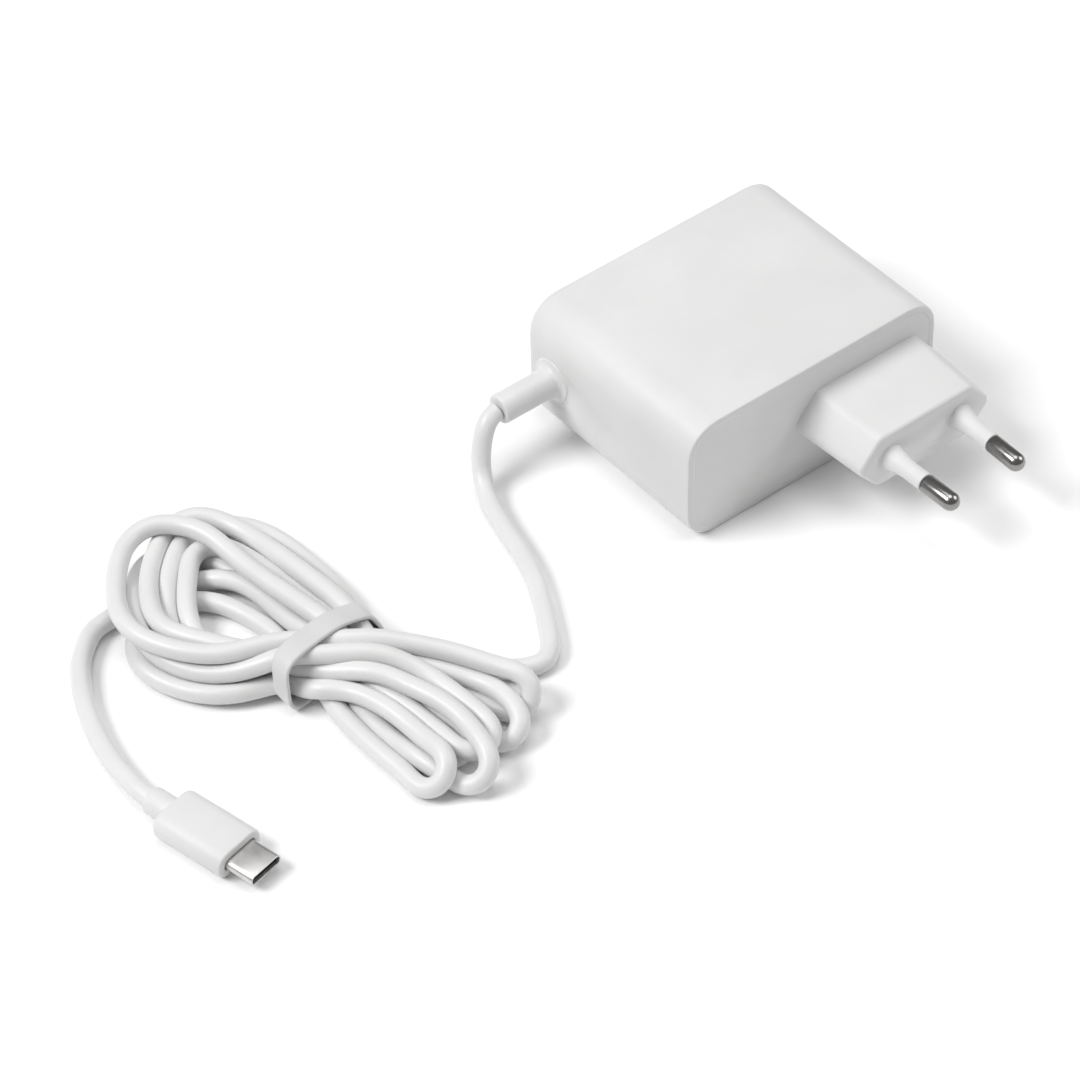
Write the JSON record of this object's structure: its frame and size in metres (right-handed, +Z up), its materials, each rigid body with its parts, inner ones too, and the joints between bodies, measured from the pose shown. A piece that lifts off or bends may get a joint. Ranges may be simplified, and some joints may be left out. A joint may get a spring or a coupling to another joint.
{
  "type": "laptop power adapter",
  "caption": "Rounded box-shaped wall charger with round mains pins on one end and a thin captive cord, tied in a hank, that ends in a USB-C plug.",
  "frame": {"origin": "under the middle of the housing, plug block and pins taken together, on the face the adapter rests on", "axes": "-Y is the way the mains pins point, +Z is up from the large resting face, and X runs across the housing, with the cord leaving from its -X side"},
  "size_m": [0.195, 0.1061, 0.03],
  "materials": {
    "white_plastic": "fine satin-matt white polycarbonate",
    "white_elastomer": "soft satin white elastomer",
    "strap": "soft pale grey band",
    "nickel": "bright nickel plating on brass",
    "steel": "satin drawn steel",
    "gold": "gold flash on the contacts",
    "brass": "bare spring brass",
    "copper": "enamelled copper wire",
    "aluminium": "mill finish",
    "ferrite": "sintered dark grey ferrite",
    "circuit_board": "green solder mask on glass-epoxy",
    "black_resin": "moulded black resin",
    "insulating_film": "thin insulating film",
    "yellow_case": "yellow moulded case",
    "yellow_tape": "yellow polyester tape",
    "blue_sleeve": "shrunk dark blue sleeve",
    "ceramic_blue": "blue dipped ceramic",
    "thermal_pad": "soft grey silicone pad",
    "output_wire_positive": "red insulated wire",
    "output_wire_signal": "white insulated wire",
    "output_wire_negative": "black insulated wire"
  },
  "bodies": {
    "root": {"housing_shell": "white_plastic", "plug_cover": "white_plastic", "pin_sleeve_left": "white_plastic", "pin_sleeve_right": "white_plastic", "pin_left": "nickel", "pin_right": "nickel", "contact_spring_left": "brass", "contact_spring_right": "brass", "main_board": "circuit_board", "bottom_film": "insulating_film", "top_heat_spreader": "aluminium", "fuse": "black_resin", "x_capacitor": "yellow_case", "bridge_rectifier": "black_resin", "bulk_capacitor_outer": "blue_sleeve", "bulk_capacitor_inner": "blue_sleeve", "transformer_core_lower": "ferrite", "transformer_core_upper": "ferrite", "transformer_bobbin": "black_resin", "transformer_winding": "yellow_tape", "thermal_pad": "thermal_pad", "choke_core": "ferrite", "choke_winding_left": "copper", "choke_winding_right": "copper", "heat_plate": "aluminium", "switching_transistor": "black_resin", "controller_chip": "black_resin", "synchronous_rectifier": "black_resin", "insulating_barrier": "insulating_film", "optocoupler": "black_resin", "y_capacitor": "ceramic_blue", "output_capacitor_front": "aluminium", "output_capacitor_back": "aluminium", "output_inductor": "ferrite", "power_delivery_board": "circuit_board", "power_delivery_chip": "black_resin", "output_wire_positive": "output_wire_positive", "output_wire_signal": "output_wire_signal", "output_wire_negative": "output_wire_negative", "strain_relief": "white_elastomer", "cord_lead": "white_elastomer", "cord_hank": "white_elastomer", "cord_tail": "white_elastomer", "tie_strap": "strap", "connector_collar": "white_plastic", "connector_overmould": "white_plastic", "connector_shell": "steel", "connector_insulator": "black_resin", "upper_contacts": "gold", "lower_contacts": "gold", "connector_board": "circuit_board"}
  },
  "joints": []
}
